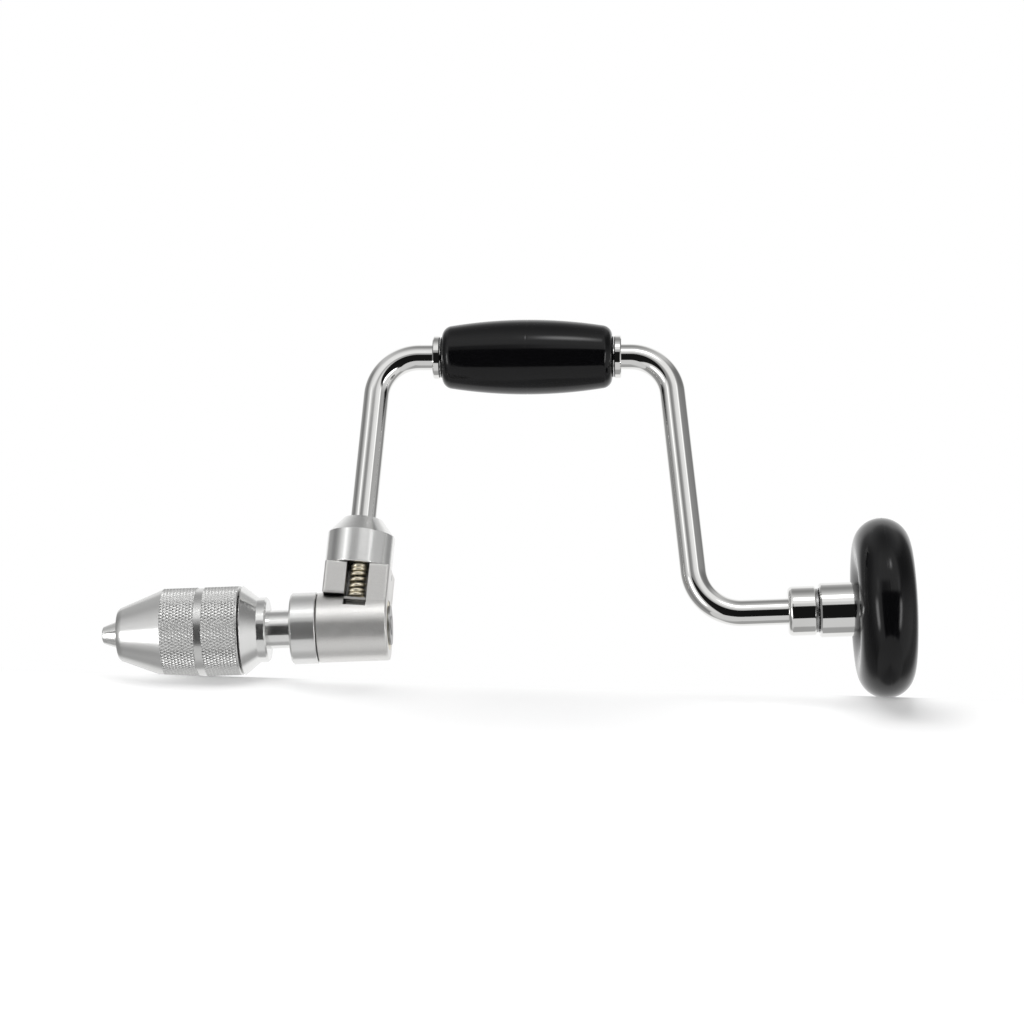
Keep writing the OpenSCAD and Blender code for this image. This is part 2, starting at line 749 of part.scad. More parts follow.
module grip_collar(side) {
    inner = grip_l / 2 + grip_boss_l + grip_end_gap;
    bore = rod_d / 2 + press_fit;
    on_grip() translate([side > 0 ? inner : -inner - grip_collar_l, 0, 0])
        turned([[0, bore], [0, grip_collar_r - collar_bevel], [collar_bevel, grip_collar_r],
            [grip_collar_l - collar_bevel, grip_collar_r], [grip_collar_l, grip_collar_r - collar_bevel],
            [grip_collar_l, bore]]);
}

module grip_collar_left() {
    color("silver") grip_collar(-1);
}

module grip_collar_right() {
    color("silver") grip_collar(1);
}

module thrust_collar() {
    front_r = thrust_collar_r - thrust_front_round;
    rear_r = thrust_collar_r - thrust_rear_round;
    front_x = thrust_x + thrust_front_round;
    rear_x = thrust_end_x - thrust_rear_round;
    color("silver") difference() {
        rotate([0, 90, 0]) rotate_extrude() {
            translate([0, thrust_x]) square([front_r, thrust_collar_l]);
            translate([0, front_x]) square([rear_r, thrust_end_x - front_x]);
            translate([0, front_x]) square([thrust_collar_r, rear_x - front_x]);
            translate([front_r, front_x]) circle(r = thrust_front_round);
            translate([rear_r, rear_x]) circle(r = thrust_rear_round);
        }
        bar_x(thrust_x - cut, thrust_collar_l + 2 * cut, rod_d / 2 + press_fit);
    }
}

module thrust_race_collar() {
    color("gray") ring_on_x(thrust_end_x, race_l, race_r, rod_d / 2 + press_fit);
}

module thrust_race_quill() {
    color("gray")
        ring_on_x(thrust_end_x + bearing_l - race_l, race_l, race_r, rod_d / 2 + run_fit);
}

module thrust_balls() {
    ball_x = thrust_end_x + race_l + ball_r + ball_gap;
    color("silver") for (i = [0 : ball_count - 1])
        rotate([360 / ball_count * i, 0, 0]) translate([ball_x, 0, ball_circle_r]) sphere(r = ball_r);
}

module pad_quill() {
    neck_x = flange_x - flange_neck;
    neck_r = quill_r - flange_neck;
    spigot_end_x = pad_hub_x + spigot_pad_l;
    color("silver") difference() {
        turned([[quill_x, 0], [quill_x, quill_r - edge], [quill_x + edge, quill_r], [neck_x, quill_r],
            [neck_x, neck_r], [flange_x, neck_r], [flange_x, quill_r], [pad_hub_x, quill_r],
            [pad_hub_x, spigot_pad_r], [spigot_end_x, spigot_pad_r], [spigot_end_x, 0]]);
        bar_x(quill_x - cut, spigot_end_x - quill_x + 2 * cut, rod_d / 2 + run_fit);
        bar_x(quill_x - cut, thrust_end_x + bearing_l - quill_x + cut, race_r + free_gap);
    }
}

module pad() {
    rim_place = pad_r - pad_rim_r;
    swell_start_r = quill_r + swell_margin;
    dome = pad_dome_h - pad_rim_r;
    dome_r = (rim_place * rim_place + dome * dome) / (2 * dome);
    cavity_l = spigot_pad_l + washer_l + nut_l + nut_room;
    color([0.06, 0.06, 0.06]) difference() {
        translate([pad_x, 0, 0]) rotate([0, 90, 0]) rotate_extrude() {
            translate([rim_place, 0]) circle(r = pad_rim_r, $fn = 96);
            translate([0, -pad_hub_l]) square([rim_place, pad_hub_l + pad_rim_r]);
            intersection() {
                translate([rim_place, pad_swell_r - pad_rim_r + swell_inset])
                    circle(r = pad_swell_r, $fn = 128);
                translate([swell_start_r, -pad_rim_r]) square([rim_place - swell_start_r, pad_rim_r]);
            }
            intersection() {
                translate([0, pad_dome_h - dome_r]) circle(r = dome_r, $fn = 256);
                square([rim_place, pad_dome_h]);
            }
        }
        bar_x(pad_hub_x - cut, cavity_l + cut, spigot_pad_r + press_fit);
    }
}

module end_washer() {
    color("gray") ring_on_x(rod_end_x, washer_l, washer_r, thread_r + press_fit);
}

module end_nut() {
    color("gray") difference() {
        translate([rod_end_x + washer_l, 0, 0]) rotate([0, 90, 0]) cylinder(h = nut_l, r = nut_r, $fn = 6);
        bar_x(rod_end_x, washer_l + nut_l + cut, thread_r + press_fit);
    }
}

crank_frame();
ratchet_body();
arm_socket();
arm_cross_pin();
front_bush();
rear_bush();
selector_ring();
detent_ball();
detent_spring();
pawl_front();
pawl_rear();
pawl_spring_front();
pawl_spring_rear();
ratchet_wheel();
wheel_pin();
chuck_body();
spindle_retainer();
retainer_screw();
jaw_ring();
chuck_shell();
jaw_upper();
jaw_lower();
jaw_spring();
grip();
grip_collar_left();
grip_collar_right();
thrust_collar();
thrust_race_collar();
thrust_race_quill();
thrust_balls();
pad_quill();
pad();
end_washer();
end_nut();
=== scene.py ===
"""Bit brace with a knurled screw chuck, a box ratchet, a moulded grip and a breast pad.

Lengths are metres in the part's own frame: X is the rotation axis, with the jaw tip at the
origin, and Z points from the axis to the grip.
"""

import json
import math

import bpy
import numpy as np
from mathutils import Matrix, Vector


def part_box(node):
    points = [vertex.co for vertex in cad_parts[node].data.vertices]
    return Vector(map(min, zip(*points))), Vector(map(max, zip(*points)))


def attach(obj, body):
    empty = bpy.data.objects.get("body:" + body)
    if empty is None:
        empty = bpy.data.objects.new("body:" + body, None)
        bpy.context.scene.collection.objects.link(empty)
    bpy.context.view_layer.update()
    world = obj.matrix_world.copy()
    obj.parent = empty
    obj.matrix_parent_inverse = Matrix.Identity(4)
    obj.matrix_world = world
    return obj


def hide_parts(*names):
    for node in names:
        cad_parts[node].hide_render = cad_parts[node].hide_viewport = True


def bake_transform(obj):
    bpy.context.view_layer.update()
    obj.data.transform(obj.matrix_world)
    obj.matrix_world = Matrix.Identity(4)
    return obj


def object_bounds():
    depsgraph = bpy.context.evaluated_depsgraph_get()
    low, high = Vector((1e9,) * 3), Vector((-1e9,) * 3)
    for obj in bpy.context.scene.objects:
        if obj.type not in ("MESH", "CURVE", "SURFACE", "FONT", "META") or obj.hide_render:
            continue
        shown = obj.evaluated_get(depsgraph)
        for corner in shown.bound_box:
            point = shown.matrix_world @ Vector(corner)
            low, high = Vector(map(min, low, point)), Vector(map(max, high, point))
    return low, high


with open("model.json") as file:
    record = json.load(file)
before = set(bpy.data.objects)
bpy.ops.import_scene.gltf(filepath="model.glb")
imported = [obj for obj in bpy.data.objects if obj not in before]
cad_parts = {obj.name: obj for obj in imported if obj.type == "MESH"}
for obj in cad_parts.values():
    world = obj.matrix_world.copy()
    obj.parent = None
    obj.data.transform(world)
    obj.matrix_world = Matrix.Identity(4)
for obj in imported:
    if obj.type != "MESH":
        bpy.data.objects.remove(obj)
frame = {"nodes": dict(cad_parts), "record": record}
cad_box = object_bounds()
nodes = frame["nodes"]

MM = 0.001


# Camera

IMAGE_PX = 1024
SENSOR = 36.0
FOCAL_PX = 2800.0
CAMERA_AZIMUTH = 2.553
CAMERA_ELEVATION = -16.0
CAMERA_ROLL = -1.398
CAMERA_TARGET = Vector((190.713, 0.0, 52.179)) * MM
CAMERA_DISTANCE = 1302.74 * MM


def direction(azimuth, elevation):
    """Unit vector from the part: azimuth from -Y towards +X, elevation towards +Z, in degrees."""
    a = math.radians(azimuth)
    e = math.radians(elevation)
    return Vector((math.sin(a) * math.cos(e), -math.cos(a) * math.cos(e), math.sin(e)))


def make_camera():
    back = direction(CAMERA_AZIMUTH, CAMERA_ELEVATION)
    right = Vector((0, 0, 1)).cross(back).normalized()
    turn = Matrix.Rotation(math.radians(CAMERA_ROLL), 3, back)
    right = turn @ right
    up = back.cross(right)
    data = bpy.data.cameras.new("camera")
    data.sensor_width = SENSOR
    data.lens = SENSOR * FOCAL_PX / IMAGE_PX
    data.clip_start = 0.01
    data.clip_end = 50
    camera = bpy.data.objects.new("camera", data)
    place = Matrix((right, up, back)).transposed().to_4x4()
    place.translation = CAMERA_TARGET + back * CAMERA_DISTANCE
    camera.matrix_world = place
    bpy.context.scene.collection.objects.link(camera)
    bpy.context.scene.camera = camera


# Node helpers

CURVE_TOP = 2.0


class Nodes:
    """Short way to add and link the nodes of one node tree."""

    def __init__(self, tree):
        self.tree = tree
        tree.nodes.clear()

    def add(self, kind, **settings):
        node = self.tree.nodes.new(kind)
        for name, value in settings.items():
            setattr(node, name, value)
        return node

    def link(self, source, target):
        self.tree.links.new(source, target)

    def fill(self, socket, value):
        """Links a socket, or sets a constant."""
        if isinstance(value, bpy.types.NodeSocket):
            self.link(value, socket)
        else:
            socket.default_value = value

    def math(self, operation, a, b=0.0, clamp=False):
        node = self.add("ShaderNodeMath", operation=operation, use_clamp=clamp)
        self.fill(node.inputs[0], a)
        self.fill(node.inputs[1], b)
        return node.outputs[0]

    def ramp(self, value, low, high, to_low=0.0, to_high=1.0):
        """Smooth step of value from low to high."""
        node = self.add("ShaderNodeMapRange", interpolation_type="SMOOTHSTEP")
        self.fill(node.inputs["Value"], value)
        self.fill(node.inputs["From Min"], low)
        self.fill(node.inputs["From Max"], high)
        self.fill(node.inputs["To Min"], to_low)
        self.fill(node.inputs["To Max"], to_high)
        return node.outputs["Result"]

    def band(self, value, low, high, soft):
        """One between low and high, zero outside, with soft edges."""
        rise = self.ramp(value, low - soft, low + soft)
        fall = self.ramp(value, high - soft, high + soft, 1.0, 0.0)
        return self.math("MULTIPLY", rise, fall)

    def curve(self, value, points):
        """Smooth curve of value through (place, level) points, which rise from the first place."""
        low, high = points[0][0], points[-1][0]
        node = self.add("ShaderNodeFloatCurve")
        line = node.mapping.curves[0]
        for place, level in points:
            at = (place - low) / (high - low)
            if place in (low, high):
                line.points[0 if place == low else -1].location = (at, level / CURVE_TOP)
            else:
                line.points.new(at, level / CURVE_TOP)
        node.mapping.update()
        self.fill(node.inputs["Value"], self.ramp_linear(value, low, high))
        return self.math("MULTIPLY", node.outputs[0], CURVE_TOP)

    def ramp_linear(self, value, low, high):
        node = self.add("ShaderNodeMapRange")
        self.fill(node.inputs["Value"], value)
        node.inputs["From Min"].default_value = low
        node.inputs["From Max"].default_value = high
        return node.outputs["Result"]

    def mix(self, factor, a, b):
        node = self.add("ShaderNodeMix", data_type="FLOAT")
        self.fill(node.inputs[0], factor)
        self.fill(node.inputs[2], a)
        self.fill(node.inputs[3], b)
        return node.outputs[0]

    def mix_color(self, factor, a, b):
        """Mix of two colours, each a socket or a tone of red, green and blue."""
        node = self.add("ShaderNodeMix", data_type="RGBA")
        self.fill(node.inputs[0], factor)
        for socket, tone in ((node.inputs[6], a), (node.inputs[7], b)):
            self.fill(socket, tone if isinstance(tone, bpy.types.NodeSocket) else (*tone, 1))
        return node.outputs[2]

    def stretched(self, scale=(1, 1, 1)):
        """Object coordinates in millimetres, scaled along each axis."""
        coords = self.add("ShaderNodeTexCoord")
        mapping = self.add("ShaderNodeMapping")
        self.link(coords.outputs["Object"], mapping.inputs["Vector"])
        mapping.inputs["Scale"].default_value = [s / MM for s in scale]
        return mapping.outputs["Vector"]

    def noise(self, vector, scale, detail=2.0, roughness=0.5):
        node = self.add("ShaderNodeTexNoise")
        self.link(vector, node.inputs["Vector"])
        node.inputs["Scale"].default_value = scale
        node.inputs["Detail"].default_value = detail
        node.inputs["Roughness"].default_value = roughness
        return node.outputs["Fac"]

    def bump(self, height, distance, strength, normal=None):
        node = self.add("ShaderNodeBump")
        self.fill(node.inputs["Height"], height)
        node.inputs["Distance"].default_value = distance
        node.inputs["Strength"].default_value = strength
        if normal is not None:
            self.link(normal, node.inputs["Normal"])
        return node.outputs["Normal"]


# Surroundings: directions and their soft edges are in degrees, and a level of 1 is white

BELOW = 0.88
BELOW_BEHIND = 0.5
BELOW_TURN = (100.0, 160.0)
HORIZON = -49.0
HORIZON_SOFT = 0.8
WALL_EDGE = (6.0, 10.0)
WALL_TOP = (40.0, 60.0)
SIDE_WALLS = (55.0, 130.0, 10.0)
SIDE_SOFT = 20.0
OVERHEAD = (0.75, 0.35)
OVERHEAD_RISE = (55.0, 90.0)
CANOPY = 1.19
CANOPY_RISE = (17.0, 25.0)
CANOPY_FALL = (42.0, 70.0)
CANOPY_ACROSS = (-42.0, 46.0, 8.0)
BACKDROP_TURN = (130.0, 150.0)
BACKDROP_UP = (HORIZON, 60.0, 6.0)

# Level of the walls by azimuth, above and below their edge
WALL_HIGH = (
    (-180, 1.2), (-160, 0.9), (-140, 0.5), (-110, 0.40), (-95, 0.27), (-83, 0.35), (-71, 0.55), (-60, 0.86),
    (-50, 1.0), (-40, 1.0), (-30, 0.71), (-21, 0.34), (-11, 0.40), (-2, 0.57), (7, 0.97), (16, 1.06),
    (25, 1.19), (35, 0.94), (45, 0.61), (55, 0.38), (65, 0.28), (120, 0.28), (140, 0.5), (160, 0.9),
    (180, 1.2),
)
WALL_LOW = (
    (-180, 1.2), (-160, 0.9), (-140, 0.5), (-110, 0.40), (-95, 0.30), (-80, 0.42), (-64, 0.85), (-46, 1.0),
    (-34, 0.9), (-29, 0.02), (-20, 0.015), (30, 0.015), (44, 0.02), (50, 0.85), (62, 1.0), (96, 1.0),
    (114, 0.5), (130, 0.45), (160, 0.9), (180, 1.2),
)
# Small hot lamps: azimuth from and to with softness, elevation from and to with softness, level
LAMPS = (
    ((3.0, 19.0, 6.0), (39.0, 48.0, 5.0), 9.0),
    ((-58.0, -48.0, 4.0), (-30.0, 0.0, 6.0), 8.0),
    ((41.0, 49.0, 4.0), (-33.0, -2.0, 6.0), 8.0),
    ((-49.0, -41.0, 6.0), (8.0, 24.0, 6.0), 1.9),
    ((36.0, 44.0, 6.0), (8.0, 24.0, 6.0), 1.9),
)


def make_world():
    """White to the camera, and to the rest a studio of soft walls around a dark front."""
    world = bpy.data.worlds.new("studio")
    bpy.context.scene.world = world
    world.use_nodes = True
    n = Nodes(world.node_tree)
    coords = n.add("ShaderNodeTexCoord")
    split = n.add("ShaderNodeSeparateXYZ")
    n.link(coords.outputs["Generated"], split.inputs[0])
    x, y, z = split.outputs
    degrees = 180 / math.pi
    elevation = n.math("MULTIPLY", n.math("ARCSINE", z), degrees)
    azimuth = n.math("MULTIPLY", n.math("ARCTAN2", x, n.math("MULTIPLY", y, -1.0)), degrees)
    side = n.math("ABSOLUTE", azimuth)

    def patch(across, up):
        """One inside a patch of azimuth and elevation, zero outside."""
        return n.math("MULTIPLY", n.band(azimuth, *across), n.band(elevation, *up))

    # The front is dark up to a sharp edge, and the side walls change softly
    soft = n.math("MULTIPLY", n.band(side, *SIDE_WALLS), SIDE_SOFT)
    edge_low, edge_high = WALL_EDGE
    rise = n.ramp(elevation, n.math("SUBTRACT", edge_low, soft), n.math("ADD", edge_high, soft))
    level = n.mix(rise, n.curve(azimuth, WALL_LOW), n.curve(azimuth, WALL_HIGH))
    level = n.mix(n.ramp(elevation, *WALL_TOP), level, n.ramp(elevation, *OVERHEAD_RISE, *OVERHEAD))
    fall = n.ramp(elevation, *CANOPY_FALL, to_low=1.0, to_high=0.0)
    canopy = n.math("MULTIPLY", n.ramp(elevation, *CANOPY_RISE), fall)
    level = n.mix(n.math("MULTIPLY", canopy, n.band(azimuth, *CANOPY_ACROSS)), level, CANOPY)
    for across, up, strength in LAMPS:
        level = n.mix(patch(across, up), level, strength)
    below = n.mix(n.ramp(side, *BELOW_TURN), BELOW, BELOW_BEHIND)
    level = n.mix(n.ramp(elevation, HORIZON - HORIZON_SOFT, HORIZON + HORIZON_SOFT), below, level)

    seen = n.add("ShaderNodeBackground")
    seen.inputs["Color"].default_value = (1, 1, 1, 1)
    light = n.add("ShaderNodeBackground")
    n.link(level, light.inputs["Strength"])
    # Metal shows the white backdrop behind the part too
    path = n.add("ShaderNodeLightPath")
    mirrored = n.math("MAXIMUM", path.outputs["Is Glossy Ray"], path.outputs["Is Transmission Ray"])
    backdrop = n.math("MULTIPLY", n.ramp(side, *BACKDROP_TURN), n.band(elevation, *BACKDROP_UP))
    shown = n.math("MAXIMUM", path.outputs["Is Camera Ray"], n.math("MULTIPLY", mirrored, backdrop))
    mix = n.add("ShaderNodeMixShader")
    n.link(shown, mix.inputs[0])
    n.link(light.outputs[0], mix.inputs[1])
    n.link(seen.outputs[0], mix.inputs[2])
    out = n.add("ShaderNodeOutputWorld")
    n.link(mix.outputs[0], out.inputs[0])


# Floor and lamp

FLOOR_REACH_X = 0.9
FLOOR_REACH_Y = 1.1
FLOOR_STEPS_X = 60
FLOOR_STEPS_Y = 160
FLOOR_SLOPE = 28.0
FLOOR_CREST = 0.006
FLOOR_GAP = 0.6 * MM
FLOOR_FADE = 0.030
FLOOR_TONE = 0.92
FLOOR_GLOW = (0.16, 0.03)
FLOOR_GLOW_Y = (-0.4, -0.05)
SHELL_REST = 12 * MM
STANDING_X = ((0.035, 0.085), (0.348, 0.370))
STANDING_SOFT = 0.018
LAMP_ENERGY = 23.0
LAMP_DISTANCE = 1.6
LAMP_LENGTH = 1.1
LAMP_WIDTH = 0.7
LAMP_AZIMUTH = 176.0
LAMP_ELEVATION = 80.0


def floor_crest():
    """Height of the floor's crest and its rise along X, so that it meets the pad's rim and the shell."""
    pad_low, pad_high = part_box("pad")
    shell_low, shell_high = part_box("chuck_shell")
    pad_x = (pad_low.x + pad_high.x) / 2
    shell_x = (shell_low.x + shell_high.x) / 2 + SHELL_REST
    rise = (shell_low.z - pad_low.z) / (shell_x - pad_x)
    return pad_low.z - rise * pad_x, rise


def make_floor():
    """A long soft ridge under the part, falling away towards the camera and behind."""
    centre_x = (cad_box[0].x + cad_box[1].x) / 2
    crest, rise = floor_crest()
    fall = math.tan(math.radians(FLOOR_SLOPE))
    verts = []
    for i in range(FLOOR_STEPS_X + 1):
        x = centre_x + FLOOR_REACH_X * (2 * i / FLOOR_STEPS_X - 1)
        for j in range(FLOOR_STEPS_Y + 1):
            t = 2 * j / FLOOR_STEPS_Y - 1
            y = FLOOR_REACH_Y * t * abs(t)
            drop = fall * (math.hypot(y, FLOOR_CREST) - FLOOR_CREST)
            verts.append((x, y, crest + rise * x - drop - FLOOR_GAP))
    row = FLOOR_STEPS_Y + 1
    faces = [
        (i * row + j, (i + 1) * row + j, (i + 1) * row + j + 1, i * row + j + 1)
        for i in range(FLOOR_STEPS_X)
        for j in range(FLOOR_STEPS_Y)
    ]
    floor = mesh_object("floor", verts, faces)
    material = bpy.data.materials.new("floor_paper")
    material.use_nodes = True
    n = Nodes(material.node_tree)
    paper = n.add("ShaderNodeBsdfDiffuse")
    paper.inputs["Color"].default_value = (FLOOR_TONE, FLOOR_TONE, FLOOR_TONE, 1)
    glow = n.add("ShaderNodeEmission")
    both = n.add("ShaderNodeAddShader")
    n.link(paper.outputs[0], both.inputs[0])
    n.link(glow.outputs[0], both.inputs[1])
    # Painted light: near the crest a white glow fades in and hides the cast shadow, except where the part
    # stands on it
    coords = n.add("ShaderNodeTexCoord")
    split = n.add("ShaderNodeSeparateXYZ")
    n.link(coords.outputs["Object"], split.inputs[0])
    standing = 0.0
    for low, high in STANDING_X:
        standing = n.math("ADD", standing, n.band(split.outputs["X"], low, high, STANDING_SOFT))
    n.link(n.ramp(split.outputs["Y"], *FLOOR_GLOW_Y, *FLOOR_GLOW), glow.inputs["Strength"])
    near_crest = n.ramp(split.outputs["Y"], -FLOOR_FADE, -FLOOR_CREST)
    fade = n.math("MULTIPLY", near_crest, n.math("SUBTRACT", 1.0, standing, clamp=True))
    white = n.add("ShaderNodeEmission")
    faded = n.add("ShaderNodeMixShader")
    n.link(fade, faded.inputs[0])
    n.link(both.outputs[0], faded.inputs[1])
    n.link(white.outputs[0], faded.inputs[2])
    path = n.add("ShaderNodeLightPath")
    mix = n.add("ShaderNodeMixShader")
    n.link(path.outputs["Is Camera Ray"], mix.inputs[0])
    n.link(paper.outputs[0], mix.inputs[1])
    n.link(faded.outputs[0], mix.inputs[2])
    out = n.add("ShaderNodeOutputMaterial")
    n.link(mix.outputs[0], out.inputs[0])
    floor.data.materials.append(material)
    floor.visible_glossy = False


def make_lights():
    """One wide soft lamp above the part, for the shadow on the floor."""
    data = bpy.data.lights.new("softbox", "AREA")
    data.shape = "RECTANGLE"
    data.size = LAMP_LENGTH
    data.size_y = LAMP_WIDTH
    data.energy = LAMP_ENERGY
    lamp = bpy.data.objects.new("softbox", data)
    away = direction(LAMP_AZIMUTH, LAMP_ELEVATION)
    lamp.location = CAMERA_TARGET + away * LAMP_DISTANCE
    lamp.rotation_euler = away.to_track_quat("Z", "Y").to_euler()
    lamp.visible_glossy = False
    lamp.visible_camera = False
    bpy.context.scene.collection.objects.link(lamp)


# Materials: tones are red, green and blue

CHROME_TONES = ((0.76, 0.755, 0.74), (0.84, 0.84, 0.83))
BRASS_TONES = ((0.70, 0.63, 0.48), (0.95, 0.90, 0.76))
PLASTIC_TONES = ((0.002, 0.002, 0.0025), (0.004, 0.004, 0.0045))
PLASTIC_IOR = 1.36
# Tone and reach of the painted shade in the corners of blasted metal
CORNER_SHADE_TONE = (0.10, 0.10, 0.095)
CORNER_SHADE_REACH = 4.0 * MM
TURNED_FINE = 9.0
TURNED_LONG = 0.05
TURNED_ROUND = 0.25 * MM
TURNED_HAZE_ROUGH = 0.45
ACROSS_MARKS = 0.25
BLASTED_SPREAD = 0.75


def new_material(name, metallic=0.0):
    material = bpy.data.materials.new(name)
    material.use_nodes = True
    n = Nodes(material.node_tree)
    shader = n.add("ShaderNodeBsdfPrincipled")
    shader.inputs["Metallic"].default_value = metallic
    out = n.add("ShaderNodeOutputMaterial")
    n.link(shader.outputs[0], out.inputs[0])
    return material, n, shader


def darker(tone, share):
    return [share * c for c in tone]


def turned_tangent(n, axis="X"):
    """Direction of a turning tool's marks, around an axis."""
    tangent = n.add("ShaderNodeTangent", direction_type="RADIAL", axis=axis)
    return tangent.outputs[0]


def add_haze(n, shader, tone, rough, share):
    """Mixes a broad, soft reflection under a sharper one."""
    haze = n.add("ShaderNodeBsdfAnisotropic", distribution="GGX")
    haze.inputs["Color"].default_value = (*tone, 1)
    haze.inputs["Roughness"].default_value = rough
    both = n.add("ShaderNodeMixShader")
    both.inputs[0].default_value = share
    target = shader.outputs[0].links[0].to_socket
    n.link(shader.outputs[0], both.inputs[1])
    n.link(haze.outputs[0], both.inputs[2])
    n.link(both.outputs[0], target)
    return haze


def chrome(name="polished_chrome_plate"):
    """Mirror plating with a trace of polishing haze and fine handling scratches."""
    material, n, shader = new_material(name, metallic=1.0)
    cloud = n.noise(n.stretched(), scale=0.06, detail=3.0)
    scratch = n.noise(n.stretched((0.3, 2.5, 2.5)), scale=1.4, detail=4.0, roughness=0.6)
    n.fill(shader.inputs["Base Color"], n.mix_color(cloud, *CHROME_TONES))
    n.fill(shader.inputs["Roughness"], n.ramp(scratch, 0.45, 0.75, to_low=0.03, to_high=0.11))
    n.fill(shader.inputs["Normal"], n.bump(cloud, distance=0.6 * MM, strength=0.05))
    return material


def turned_metal(name, tone, rough, spread, marks, axis="X", haze=0.0):
    """Lathe turned plating: fine rings around an axis that spread its reflections along it."""
    material, n, shader = new_material(name, metallic=1.0)
    stretch = [TURNED_FINE if way == axis else TURNED_LONG for way in "XYZ"]
    rings = n.noise(n.stretched(stretch), scale=1.0, detail=3.0, roughness=0.65)
    cloud = n.noise(n.stretched(), scale=0.12, detail=3.0)
    n.fill(shader.inputs["Base Color"], n.mix_color(rings, darker(tone, 0.93), tone))
    n.fill(shader.inputs["Roughness"], n.mix(cloud, rough * 0.85, rough * 1.15))
    shader.inputs["Anisotropic"].default_value = spread
    shader.inputs["Anisotropic Rotation"].default_value = ACROSS_MARKS
    n.link(turned_tangent(n, axis), shader.inputs["Tangent"])
    rounded = n.add("ShaderNodeBevel", samples=4)
    rounded.inputs["Radius"].default_value = TURNED_ROUND
    n.fill(shader.inputs["Normal"],
           n.bump(rings, distance=0.05 * MM, strength=marks, normal=rounded.outputs[0]))
    if haze:
        add_haze(n, shader, tone, rough=TURNED_HAZE_ROUGH, share=haze)
    return material


def blasted_metal(name, tone):
    """Finely blasted satin plating with a resolved grain, and painted shade that darkens its corners."""
    material, n, shader = new_material(name, metallic=1.0)
    grain = n.noise(n.stretched(), scale=1.8, detail=2.0, roughness=0.5)
    mottle = n.noise(n.stretched(), scale=0.35, detail=3.0)
    # Painted shade: ambient occlusion darkens the colour in corners, creases and recesses, where shade falls
    corner = n.add("ShaderNodeAmbientOcclusion", samples=6)
    corner.inputs["Distance"].default_value = CORNER_SHADE_REACH
    unshaded = n.ramp(corner.outputs["AO"], 0.2, 0.75)
    plate = n.mix_color(grain, darker(tone, 0.80), tone)
    n.fill(shader.inputs["Base Color"], n.mix_color(unshaded, CORNER_SHADE_TONE, plate))
    n.fill(shader.inputs["Roughness"], n.ramp(mottle, 0.3, 0.7, to_low=0.30, to_high=0.36))
    shader.inputs["Anisotropic"].default_value = BLASTED_SPREAD
    shader.inputs["Anisotropic Rotation"].default_value = ACROSS_MARKS
    n.link(turned_tangent(n), shader.inputs["Tangent"])
    n.fill(shader.inputs["Normal"], n.bump(grain, distance=0.12 * MM, strength=0.9))
    haze = add_haze(n, shader, tone, rough=0.5, share=0.4)
    # The haze's colour carries the same painted shade in the corners
    n.fill(haze.inputs["Color"], n.mix_color(unshaded, CORNER_SHADE_TONE, tone))
    return material


def machined_steel(name, tone, rough):
    """Plain machined steel under a film of oil."""
    material, n, shader = new_material(name, metallic=1.0)
    cloud = n.noise(n.stretched(), scale=0.4, detail=4.0)
    lines = n.noise(n.stretched((6.0, 0.4, 0.4)), scale=1.0, detail=2.0)
    n.fill(shader.inputs["Base Color"], n.mix_color(cloud, darker(tone, 0.75), tone))
    n.fill(shader.inputs["Roughness"], n.mix(lines, rough * 0.8, rough * 1.2))
    n.fill(shader.inputs["Normal"], n.bump(lines, distance=0.04 * MM, strength=0.3))
    return material


def brass_wire(name):
    """Drawn wire with a pale brass plating, dulled in patches."""
    material, n, shader = new_material(name, metallic=1.0)
    cloud = n.noise(n.stretched(), scale=0.9, detail=3.0)
    n.fill(shader.inputs["Base Color"], n.mix_color(cloud, *BRASS_TONES))
    n.fill(shader.inputs["Roughness"], n.ramp(cloud, 0.3, 0.7, to_low=0.46, to_high=0.34))
    n.fill(shader.inputs["Normal"], n.bump(cloud, distance=0.1 * MM, strength=0.3))
    return material


def black_plastic(name):
    """Moulded gloss black plastic with faint flow marks and handling haze."""
    material, n, shader = new_material(name)
    haze = n.noise(n.stretched(), scale=0.05, detail=4.0, roughness=0.6)
    fine = n.noise(n.stretched(), scale=2.2, detail=3.0)
    n.fill(shader.inputs["Base Color"], n.mix_color(haze, *PLASTIC_TONES))
    n.fill(shader.inputs["Roughness"], n.ramp(haze, 0.3, 0.7, to_low=0.10, to_high=0.15))
    shader.inputs["IOR"].default_value = PLASTIC_IOR
    n.fill(shader.inputs["Normal"], n.bump(fine, distance=0.03 * MM, strength=0.06))
    return material


# Mesh helpers: the edges between faces that turn by more than this many degrees stay sharp

SHARP = 35.0
KNURL_SHARP = 28.0
TUBE_SHARP = 60.0


def mesh_object(name, verts, faces, sharp=SHARP):
    mesh = bpy.data.meshes.new(name)
    mesh.from_pydata([tuple(v) for v in verts], [], faces)
    mesh.validate()
    mesh.shade_smooth()
    mesh.set_sharp_from_angle(angle=math.radians(sharp))
    obj = bpy.data.objects.new(name, mesh)
    bpy.context.scene.collection.objects.link(obj)
    return obj


def arc(centre, radius, start, end, steps):
    """Points of an arc in an outline's plane, with angles in degrees."""
    return [
        (centre[0] + radius * math.cos(math.radians(start + (end - start) * i / steps)),
         centre[1] + radius * math.sin(math.radians(start + (end - start) * i / steps)))
        for i in range(steps + 1)
    ]


def lathe(outline, sides):
    """Vertices and faces of a closed outline of (place, radius) points turned about X."""
    count = len(outline)
    verts = []
    for i in range(sides):
        a = 2 * math.pi * i / sides
        verts += [(x, r * math.cos(a), r * math.sin(a)) for x, r in outline]
    faces = []
    for i in range(sides):
        a = i * count
        b = (i + 1) % sides * count
        for k in range(count):
            m = (k + 1) % count
            faces.append((a + k, a + m, b + m, b + k))
    return verts, faces


